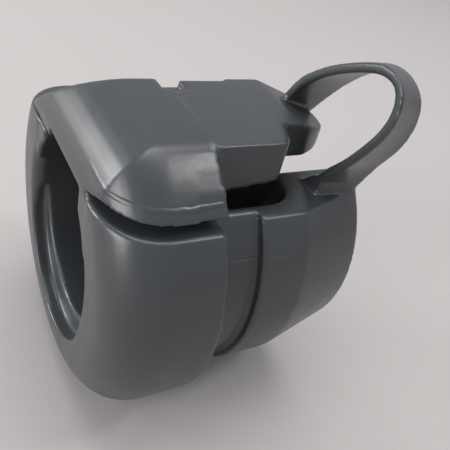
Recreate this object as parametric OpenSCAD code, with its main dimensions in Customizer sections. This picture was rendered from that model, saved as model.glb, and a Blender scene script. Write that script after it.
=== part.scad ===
// Strain relief bushing: a one-piece nylon moulding for a cable at a round panel hole.
// A slotted round body takes the cable, a strap carries the latch that closes over it.
// X runs along the cable with the head at -X, Z is up, and the origin is on the cable
// axis in the plane of the head's rear face, which seats on the panel.

/* [Body] */
// Outside diameter of the round head that stays in front of the panel
head_d = 31.8; // [30:0.1:33]
// Length of the head along the cable
head_len = 8.8; // [8:0.1:10]
// Radius of the rounding on the head's front outer edge
head_round = 4.4; // [3:0.1:5]
// Diameter of the neck that sits in the panel hole
neck_d = 27; // [26.5:0.1:27.3]
// Length of the neck between head and shoulder
neck_len = 4.15; // [3.5:0.05:5]
// Diameter of the barrel behind the neck
barrel_d = 28.5; // [28:0.1:29]
// Distance from the head's rear face to the end of the straight barrel
barrel_end = 8.55; // [8:0.05:9.5]
// Distance from the head's rear face to the end of the tail
tail_end = 15.85; // [15.5:0.05:17]
// Diameter of the tapered tail at its end
tail_d = 24.8; // [24:0.1:26]
// Height of the flat top of the body above the cable axis
body_top = 8.5; // [8.2:0.1:8.8]
// Height of the head's near shoulder above the cable axis
head_top = 8.9; // [8.6:0.1:9.2]
// Height of the head's far shoulder above the cable axis
head_top_far = 7.4; // [7:0.1:7.8]

/* [Cable way] */
// Diameter of the round cable bore
bore_d = 16.4; // [14:0.1:17]
// Diameter of the narrower cable bore behind the head
tail_bore_d = 12.8; // [11:0.1:13]
// Distance ahead of the head's rear face where the bore starts to narrow
bore_step = 3.4; // [2:0.1:5]
// Length over which the bore narrows
bore_ramp = 1.2; // [0.6:0.1:1.8]
// Depth of the dip in the lower lip of the mouth
lip_dip = 2; // [1:0.1:2.6]
// Length of the dip in the lower lip of the mouth
lip_len = 1.5; // [1:0.1:2.5]
// Radius of the rounding where the bore opens at each end
mouth_round = 1.1; // [0.6:0.1:1.6]
// Width of the open slot above the bore in the head
head_slot_w = 15; // [13:0.1:16]
// Width of the open slot above the bore in the tail
tail_slot_w = 11; // [10:0.1:13]
// Width of the pocket that takes the latch block
pocket_w = 19.4; // [18.5:0.1:19.8]
// Where the pocket starts behind the head's rear face
pocket_start = 1.9; // [1.5:0.1:2.2]
// Where the pocket ends and the flat land starts
pocket_end = 8.7; // [8:0.1:9.4]
// Height of the pocket floor above the cable axis
pocket_floor = 2.6; // [2:0.1:4]
// Radius of the pocket's corners beside the land
pocket_corner = 2.6; // [1.5:0.1:3]

/* [Latch] */
// Radius of the hood's round side about the cable axis
hood_r = 16.4; // [16:0.1:17]
// Height of the hood's top above the cable axis
hood_top = 14.2; // [13.8:0.1:14.6]
// Open gap between the hood and the head's near shoulder
hood_gap = 1.3; // [1:0.1:1.5]
// Height of the hood's lower face in the middle of the slot
hood_keel = 8.7; // [8.4:0.1:9]
// Radius of the rounding on the hood's front side edge
hood_round = 4.6; // [3:0.1:5]
// Radius of the rounding on the hood's front top edge
hood_nose = 6; // [4:0.1:6.4]
// Radius of the rounding on the hood's side top edge
hood_side_round = 3; // [2.4:0.1:3.4]
// Sideways place where the hood's top ends and its far slope starts
hood_ridge = 1.3; // [0.8:0.1:2]
// Angle of the hood's far slope below the horizontal
hood_slope = 37; // [33:1:40]
// Sideways place of the block's near face, from the cable axis
block_side = 9.4; // [9:0.1:9.5]
// Height of the block's flat top above the cable axis
block_top = 13.95; // [13.6:0.05:14.2]
// Height of the block's lower face at the hood
block_floor = 9.7; // [9.5:0.1:10.2]
// Rise of the block's lower face towards its end
block_rise = 0.6; // [0:0.1:1]
// Length of the block along its near face
block_len = 6.1; // [5.6:0.1:6.6]
// Length of the block along its far edge
block_len_far = 9.6; // [9:0.1:10]
// Sideways reach of the block past the cable axis on the far side
block_far = 1.6; // [1:0.1:2.2]
// Height of the keel's lower face above the cable axis
keel_floor = 4.2; // [4:0.1:6]
// Width of the keel under the block
keel_w = 9.6; // [8:0.1:10]
// Distance from the head's rear face to the end of the keel
keel_len = 7.9; // [6:0.1:8]
// Distance from the head's rear face to the end of the tongue
tongue_end = 14.8; // [14:0.1:15.2]
// Sideways place of the tongue's near edge, from the cable axis
tongue_side = 6.6; // [6:0.1:7.2]
// Thickness of the tongue's lower layer
tongue_t = 1.3; // [1:0.1:1.6]
// Height of the tongue's top at its end
tongue_tip = 12; // [11.6:0.1:12.4]

/* [Strap] */
// Thickness of the strap
strap_t = 0.8; // [0.6:0.05:1]
// Width of the strap along the cable
strap_w = 4.8; // [4:0.1:4.9]
// Where the strap's near edge lies behind the head's rear face
strap_x = 10.95; // [10.6:0.05:11]
// Height of the loop's top above the cable axis
loop_top = 21.2; // [20:0.1:22]
// Sideways reach of the loop from the cable axis
loop_side = 14.1; // [13.5:0.1:14.8]

/* [Hidden] */
$fn = 96;
e = 0.05;
arc_steps = 10;
head_r = head_d / 2;
neck_r = neck_d / 2;
barrel_r = barrel_d / 2;
tail_r = tail_d / 2;
bore_r = bore_d / 2;
tail_bore_r = tail_bore_d / 2;
reach = 40;
hood_floor = head_top + hood_gap;
slope_drop = hood_top - hood_keel;
slope_y = hood_ridge + slope_drop / tan(hood_slope);

// points of a circular arc
function arc(cx, cy, r, a0, a1) =
    [for (i = [0 : arc_steps])
        let (a = a0 + (a1 - a0) * i / arc_steps) [cx + r * cos(a), cy + r * sin(a)]];

// smooth curve through control points
function at(p, i) = p[max(0, min(len(p) - 1, i))];
function blend(a, b, c, d, t) =
    0.5 * (2 * b + (c - a) * t + (2 * a - 5 * b + 4 * c - d) * t * t
    + (3 * b - a - 3 * c + d) * t * t * t);
curve_steps = 7;
function curve(p) =
    [for (i = [0 : len(p) - 2], k = [0 : curve_steps - 1])
        blend(at(p, i - 1), at(p, i), at(p, i + 1), at(p, i + 2), k / curve_steps),
     p[len(p) - 1]];

// the same curve moved sideways by t
function unit(v) = v / norm(v);
function inset(c, t) =
    [for (i = [0 : len(c) - 1])
        let (d = unit(at(c, i + 1) - at(c, i - 1))) c[i] - t * [d[1], -d[0]]];

// outer form of the body as a half profile, radius first and length second
body_profile = concat(
    [[0, -head_len], [head_r - head_round, -head_len]],
    arc(head_r - head_round, -head_len + head_round, head_round, -90, 0),
    [[head_r, 0], [neck_r, 0], [neck_r, neck_len], [barrel_r, neck_len],
     [barrel_r, barrel_end], [tail_r, tail_end], [0, tail_end]]);

// cable bore with both ends rounded
bore_profile = concat(
    [[0, -head_len - e], [bore_r + mouth_round, -head_len - e],
     [bore_r + mouth_round, -head_len]],
    arc(bore_r + mouth_round, -head_len + mouth_round, mouth_round, -90, -180),
    [[bore_r, -bore_step], [tail_bore_r, bore_ramp - bore_step]],
    arc(tail_bore_r + mouth_round, tail_end - mouth_round, mouth_round, 180, 90),
    [[tail_bore_r + mouth_round, tail_end + e], [0, tail_end + e]]);

module along_x() {
    rotate([0, 90, 0]) children();
}

// a side-to-side outline (y, z) carried along X from x0 to x1
module run_x(x0, x1, pts) {
    translate([x0, 0, 0]) rotate([90, 0, 90]) linear_extrude(x1 - x0) polygon(pts);
}

// a lengthwise outline (x, z) carried across Y from y0 to y1
module run_y(y0, y1, pts) {
    translate([0, y1, 0]) rotate([90, 0, 0]) linear_extrude(y1 - y0) polygon(pts);
}

module box(x0, x1, y0, y1, z0, z1) {
    translate([x0, y0, z0]) cube([x1 - x0, y1 - y0, z1 - z0]);
}

module body() {
    difference() {
        along_x() rotate_extrude() polygon(body_profile);
        along_x() rotate_extrude() polygon(bore_profile);
        box(0, reach, -reach, reach, body_top, reach);
        box(-reach, e, -reach, 0, head_top, reach);
        box(-reach, e, 0, reach, head_top_far, reach);
        box(-reach, pocket_start, -head_slot_w / 2, head_slot_w / 2, 0, reach);
        box(pocket_start, reach, -tail_slot_w / 2, tail_slot_w / 2, bore_r / 2, reach);
        pocket();
        translate([-head_len - e, 0, -lip_dip]) along_x() cylinder(r = bore_r + 0.2, h = lip_len);
    }
}

module pocket() {
    w = pocket_w / 2;
    c = pocket_corner;
    translate([0, 0, pocket_floor]) linear_extrude(reach)
        polygon(concat([[pocket_start, -w]], arc(pocket_end - c, -w + c, c, -90, 0),
            arc(pocket_end - c, w - c, c, 0, 90), [[pocket_start, w]]));
}

hood_across = concat(
    [[-reach, hood_floor], [-9.2, hood_floor - 0.2], [-5.2, hood_keel],
     [slope_y, hood_keel], [hood_ridge, hood_top], [-7, hood_top - 0.2]],
    arc(-7.9, hood_top - 0.3 - hood_side_round, hood_side_round, 85, 130),
    [[-reach, hood_top - 1]]);

hood_along = concat(
    [[0, 0], [0, hood_top + 1]],
    arc(-head_len + hood_nose, hood_top - hood_nose, hood_nose, 90, 180),
    [[-head_len, 0]]);

hood_round_profile = concat(
    [[0, -head_len], [hood_r - hood_round, -head_len]],
    arc(hood_r - hood_round, -head_len + hood_round, hood_round, -90, 0),
    [[hood_r, 0], [0, 0]]);

module hood() {
    intersection() {
        run_x(-head_len - 1, 0, hood_across);
        run_y(-reach, reach, hood_along);
        along_x() rotate_extrude() polygon(hood_round_profile);
    }
}

module block() {
    difference() {
        translate([0, 0, block_floor]) linear_extrude(block_top - block_floor)
            polygon([[-2, -block_side], [block_len, -block_side], [block_len + 0.6, -8.8],
                [block_len_far, -1.8], [block_len_far, block_far], [-2, block_far]]);
        run_y(-reach, reach, [[0, block_floor - 1], [reach, block_floor - 1],
            [block_len, block_floor + block_rise], [0, block_floor]]);
    }
    // keel under the block, in the open slot above the cable
    box(-2, keel_len, -keel_w / 2, keel_w / 2, keel_floor, block_floor + 1);
}

module tongue() {
    intersection() {
        run_y(-tongue_side, block_far + 0.4,
            [[block_len, tongue_tip - tongue_t], [block_len, block_top],
             [block_len_far, block_top], [tongue_end, tongue_tip],
             [tongue_end, tongue_tip - tongue_t]]);
        translate([tongue_end - 6.4, -0.4, 0]) cylinder(r = 6.5, h = reach);
    }
}

// strap edges as (y, z) control points, from the tongue over the loop to the land
edge_near = [[-0.6, 13.2], [-2.5, 16.2], [-5.3, 18.5], [-8.6, 20.3],
    [loop_side * -0.79, loop_top], [-13.2, 20.8], [-loop_side, 18.9], [-13.6, 16.3],
    [-11.6, 12.8], [-9.6, 10.2], [-8.6, body_top - 0.5]];
edge_far = [[1.2, 11], [-0.7, 13.7], [-2.9, 16.5], [-5.2, 18.7],
    [-7.6, loop_top - 1.4], [-9.8, loop_top - 1.4], [-11.6, 18.8], [-12.3, 17],
    [-12, 14.6], [-10.5, 11.5], [-9, body_top - 0.5]];

module strap() {
    o0 = curve(edge_near);
    i0 = inset(o0, strap_t);
    o1 = curve(edge_far);
    i1 = inset(o1, strap_t);
    n = len(o0);
    x1 = strap_x + strap_w;
    pts = [for (i = [0 : n - 1]) each [
        [strap_x, o0[i][0], o0[i][1]], [x1, o1[i][0], o1[i][1]],
        [x1, i1[i][0], i1[i][1]], [strap_x, i0[i][0], i0[i][1]]]];
    sides = [for (i = [0 : n - 2], k = [0 : 3], h = [0 : 1])
        let (a = 4 * i + k, b = 4 * i + (k + 1) % 4, c = b + 4, d = a + 4)
        h == 0 ? [a, b, c] : [a, c, d]];
    m = 4 * n;
    ends = [[2, 1, 0], [3, 2, 0], [m - 4, m - 3, m - 2], [m - 4, m - 2, m - 1]];
    polyhedron(points = pts, faces = concat(ends, sides));
}

module gusset() {
    run_x(strap_x, tail_end - 0.6, [[-9.4, body_top - 0.5], [-6.4, body_top - 0.5],
        [-8, body_top + 1.2], [-9.4, body_top + 2]]);
}

module bushing() {
    color([0.16, 0.17, 0.18]) union() {
        body();
        hood();
        block();
        tongue();
        strap();
        gusset();
    }
}

bushing();
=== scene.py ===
import math
import bpy, bmesh
from mathutils import Matrix, Vector


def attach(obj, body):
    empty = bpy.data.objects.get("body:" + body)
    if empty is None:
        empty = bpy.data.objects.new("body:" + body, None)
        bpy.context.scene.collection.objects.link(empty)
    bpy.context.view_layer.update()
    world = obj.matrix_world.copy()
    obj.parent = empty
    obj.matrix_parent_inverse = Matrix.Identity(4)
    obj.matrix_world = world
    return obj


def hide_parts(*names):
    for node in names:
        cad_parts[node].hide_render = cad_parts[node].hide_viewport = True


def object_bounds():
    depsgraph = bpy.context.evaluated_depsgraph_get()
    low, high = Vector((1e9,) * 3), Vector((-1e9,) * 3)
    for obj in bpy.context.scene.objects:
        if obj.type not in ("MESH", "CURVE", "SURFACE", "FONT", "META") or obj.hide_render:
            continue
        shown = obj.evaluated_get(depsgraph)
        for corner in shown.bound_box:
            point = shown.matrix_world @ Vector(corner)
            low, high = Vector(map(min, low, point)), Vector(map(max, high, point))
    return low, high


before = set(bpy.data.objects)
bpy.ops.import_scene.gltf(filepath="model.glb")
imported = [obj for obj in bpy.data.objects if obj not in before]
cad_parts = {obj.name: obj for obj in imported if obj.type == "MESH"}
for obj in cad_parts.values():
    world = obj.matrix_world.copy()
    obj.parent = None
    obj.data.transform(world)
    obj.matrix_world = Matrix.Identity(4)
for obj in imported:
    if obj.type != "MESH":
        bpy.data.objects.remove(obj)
cad_lo, cad_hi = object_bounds()

# Bushing: the whole part is one injection moulding in dark grey nylon, body, latch and
# strap together. Its corners are softly rounded, a parting line runs over the latch,
# a flash line along the hood's lip, and a faint witness line along neck and barrel.
# The moulding starts as a merged copy of the solid.
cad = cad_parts["bushing"]
merge_distance = 1e-7
copy = bpy.data.objects.new("bushing_moulding", cad.data.copy())
copy.matrix_world = cad.matrix_world.copy()
bpy.context.scene.collection.objects.link(copy)
copy.data.materials.clear()
copy.data.transform(copy.matrix_world)
copy.matrix_world = Matrix.Identity(4)

bm = bmesh.new()
bm.from_mesh(copy.data)
bmesh.ops.remove_doubles(bm, verts=bm.verts, dist=merge_distance)
bm.to_mesh(copy.data)
bm.free()


def prism(bm, x0, x1, outline):
    """a closed prism along X with its outline given as (y, z) in millimetres"""
    ring = [bm.verts.new((x0 / 1000, y / 1000, z / 1000)) for y, z in outline]
    face = bm.faces.new(ring)
    moved = bmesh.ops.extrude_face_region(bm, geom=[face])["geom"]
    top = [v for v in moved if isinstance(v, bmesh.types.BMVert)]
    bmesh.ops.translate(bm, vec=((x1 - x0) / 1000, 0, 0), verts=top)


def shape(name, prisms):
    """one mesh of several prisms, each (x0, x1, outline)"""
    bm = bmesh.new()
    for x0, x1, outline in prisms:
        prism(bm, x0, x1, outline)
    bmesh.ops.recalc_face_normals(bm, faces=bm.faces)
    mesh = bpy.data.meshes.new(name)
    bm.to_mesh(mesh)
    bm.free()
    return mesh


# What the moulding has beyond its solid, in this order: the hood's far skirt, the near
# and far cheeks of the mouth slot, and the keel's lower and rear end.
more = shape("more", [
    (-8.75, -0.02, [(3.3, 9.2), (3.3, 7.8), (9.7, 7.8), (8.0, 9.2)]),
    (-8.70, 1.85, [(-7.6, 3.0), (-7.6, 8.88), (-5.2, 8.88), (-5.2, 6.5), (-6.5, 5.1)]),
    (-8.70, 1.85, [(7.6, 3.0), (7.6, 7.38), (5.2, 7.38), (5.2, 6.5), (6.5, 5.1)]),
    (0.5, 9.9, [(-4.8, 3.9), (-4.8, 10.6), (4.8, 10.6), (4.8, 3.9)]),
])
bm = bmesh.new()
bm.from_mesh(copy.data)
bm.from_mesh(more)
bm.to_mesh(copy.data)
bm.free()

# What is cut from it: the block's front end beside the hood's side rounding, whose
# centre and radius these are, and the notch behind the hood.
side_y, side_z, side_r = -7.9, 10.9, 3
corner = [(side_y + side_r * math.cos(math.radians(a)), side_z + side_r * math.sin(math.radians(a)))
          for a in range(84, 131, 6)]
corner += [(-11.6, 11.6), (-14.0, 8.6), (-20, 8.6), (-20, 15.5), (-7.6, 15.5)]
cutters = shape("cutters", [
    (-2.3, -0.02, corner),
    (-0.7, 1.5, [(-1.3, 14.6), (0.5, 13.2), (2.4, 13.2), (2.4, 14.6)]),
])
cutter = bpy.data.objects.new("cutters", cutters)
bpy.context.scene.collection.objects.link(cutter)
cutter.hide_render = True
cutter.hide_viewport = True
cut = copy.modifiers.new("cut", "BOOLEAN")
cut.operation = "DIFFERENCE"
cut.solver = "EXACT"
cut.use_self = True
cut.object = cutter

# All of it is fused and its corners are softened as a moulding's are.
grid = copy.modifiers.new("moulded", "REMESH")
grid.mode = "VOXEL"
voxel = 0.00019
grid.voxel_size = voxel
grid.use_smooth_shade = True
soft = copy.modifiers.new("soft", "SMOOTH")
soft.factor = 0.5
soft.iterations = 7
thin = copy.modifiers.new("thin", "DECIMATE")
thin.ratio = 0.5

# Nylon: a smooth semi-gloss surface with fine grain and slightly uneven gloss.
nylon = bpy.data.materials.new("nylon")
nylon.use_nodes = True
nt = nylon.node_tree
bsdf = nt.nodes["Principled BSDF"]
bsdf.inputs["Base Color"].default_value = (0.034, 0.0375, 0.041, 1)
bsdf.inputs["IOR"].default_value = 1.53
coord = nt.nodes.new("ShaderNodeTexCoord")


def line(a, b):
    """links one socket to another"""
    nt.links.new(a, b)


def calc(kind, a, b):
    """one maths node of two values or sockets"""
    n = nt.nodes.new("ShaderNodeMath")
    n.operation = kind
    for socket, v in zip(n.inputs, (a, b)):
        if isinstance(v, (int, float)):
            socket.default_value = v
        else:
            line(v, socket)
    return n.outputs[0]


def band(value, low, high, edge):
    """1 between low and high and 0 outside, with soft edges"""
    up = nt.nodes.new("ShaderNodeMapRange")
    up.interpolation_type = "SMOOTHSTEP"
    line(value, up.inputs["Value"])
    up.inputs["From Min"].default_value = low - edge
    up.inputs["From Max"].default_value = low + edge
    down = nt.nodes.new("ShaderNodeMapRange")
    down.interpolation_type = "SMOOTHSTEP"
    line(value, down.inputs["Value"])
    down.inputs["From Min"].default_value = high - edge
    down.inputs["From Max"].default_value = high + edge
    down.inputs["To Min"].default_value = 1
    down.inputs["To Max"].default_value = 0
    return calc("MULTIPLY", up.outputs[0], down.outputs[0])


def noise(scale, detail):
    """a noise pattern on the piece's own coordinates"""
    n = nt.nodes.new("ShaderNodeTexNoise")
    line(coord.outputs["Object"], n.inputs["Vector"])
    n.inputs["Scale"].default_value = scale
    n.inputs["Detail"].default_value = detail
    return n.outputs["Fac"]


axes = nt.nodes.new("ShaderNodeSeparateXYZ")
line(coord.outputs["Object"], axes.inputs[0])
ax, ay, az = axes.outputs
wander = calc("MULTIPLY", calc("SUBTRACT", noise(900, 2), 0.5), 0.0002)
side = calc("ADD", ay, wander)
across = band(side, -0.00145, -0.00133, 0.00006)
part_line = calc("MULTIPLY", across, band(ax, -0.0004, 0.0093, 0.0002))
part_line = calc("MULTIPLY", part_line, band(az, 0.0125, 0.0150, 0.0004))
height = calc("ADD", az, wander)

# The lip's flash line and the witness line are on the near side only.
near = band(ay, -0.0200, -0.0060, 0.0006)
flash = calc("MULTIPLY", band(height, 0.01075, 0.0110, 0.00008), near)
flash = calc("MULTIPLY", flash, band(ax, -0.0084, -0.0002, 0.0003))
angle = calc("ARCTAN2", az, calc("MULTIPLY", ay, -1))
witness = calc("MULTIPLY", band(angle, 0.395, 0.407, 0.006), near)
dash_a = band(ax, 0.0017, 0.0040, 0.0001)
dash_b = band(ax, 0.0050, 0.0073, 0.0001)
witness = calc("MULTIPLY", witness, calc("MAXIMUM", dash_a, dash_b))

# Flash stands out, the parting and witness lines are sunk, and grain lies over all.
relief = calc("SUBTRACT", calc("MULTIPLY", flash, 0.6), calc("ADD", part_line, witness))
grain = calc("ADD", calc("MULTIPLY", noise(2600, 3), 0.10), calc("MULTIPLY", noise(260, 2), 0.35))
relief = calc("ADD", relief, grain)
bump = nt.nodes.new("ShaderNodeBump")
bump.inputs["Strength"].default_value = 0.6
bump.inputs["Distance"].default_value = 0.00009
line(relief, bump.inputs["Height"])
line(bump.outputs[0], bsdf.inputs["Normal"])
rough = calc("ADD", calc("MULTIPLY", noise(420, 4), 0.16), 0.24)
line(rough, bsdf.inputs["Roughness"])
copy.data.materials.append(nylon)
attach(copy, "root")
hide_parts("bushing")

# Floor: a plain pale sheet of matt paint under the part.
bm = bmesh.new()
bmesh.ops.create_grid(bm, x_segments=1, y_segments=1, size=3)
bmesh.ops.translate(bm, vec=(0, 0, cad_lo[2]), verts=bm.verts)
floor_mesh = bpy.data.meshes.new("floor")
bm.to_mesh(floor_mesh)
bm.free()
floor = bpy.data.objects.new("floor", floor_mesh)
bpy.context.scene.collection.objects.link(floor)
paint = bpy.data.materials.new("floor")
paint.use_nodes = True
matt = paint.node_tree.nodes["Principled BSDF"]
matt.inputs["Base Color"].default_value = (0.40, 0.375, 0.365, 1)
matt.inputs["Roughness"].default_value = 0.9
floor_mesh.materials.append(paint)

# Light: an even room, a window behind to the left, a wide ceiling lamp, a soft fill from
# the head's side and a small lamp above. Each has its place, width and power.
world = bpy.data.worlds.new("room")
bpy.context.scene.world = world
world.use_nodes = True
air = world.node_tree.nodes["Background"]
air.inputs["Color"].default_value = (0.93, 0.96, 1.0, 1)
air.inputs["Strength"].default_value = 0.58
for name, place, size, power in (
    ("window", (-0.33, 0.30, 0.12), 0.18, 1.1),
    ("ceiling", (0.02, 0.06, 0.45), 0.34, 1.5),
    ("side", (-0.36, -0.06, 0.10), 0.20, 1.0),
    ("lamp", (0.17, -0.11, 0.28), 0.05, 0.24),
):
    data = bpy.data.lights.new(name, "AREA")
    data.energy = power
    data.size = size
    lamp = bpy.data.objects.new(name, data)
    lamp.location = place
    lamp.rotation_euler = Vector(place).to_track_quat("Z", "Y").to_euler()
    bpy.context.scene.collection.objects.link(lamp)

# Camera: close to the part, looking down on its head and latch side.
cam = bpy.data.objects.new("camera", bpy.data.cameras.new("camera"))
cam.data.lens = 44.76
cam.data.sensor_width = 36
cam.data.clip_start = 0.001
cam.data.shift_y = -0.0022
right = Vector((0.865362, -0.449542, 0.221498))
up = Vector((0.117864, 0.612147, 0.781910))
turn = Matrix((right, up, right.cross(up))).transposed().to_4x4()
cam.matrix_world = Matrix.Translation((-0.01988, -0.03901, 0.03311)) @ turn
bpy.context.scene.collection.objects.link(cam)
bpy.context.scene.camera = cam
bpy.context.scene.view_settings.view_transform = "Standard"
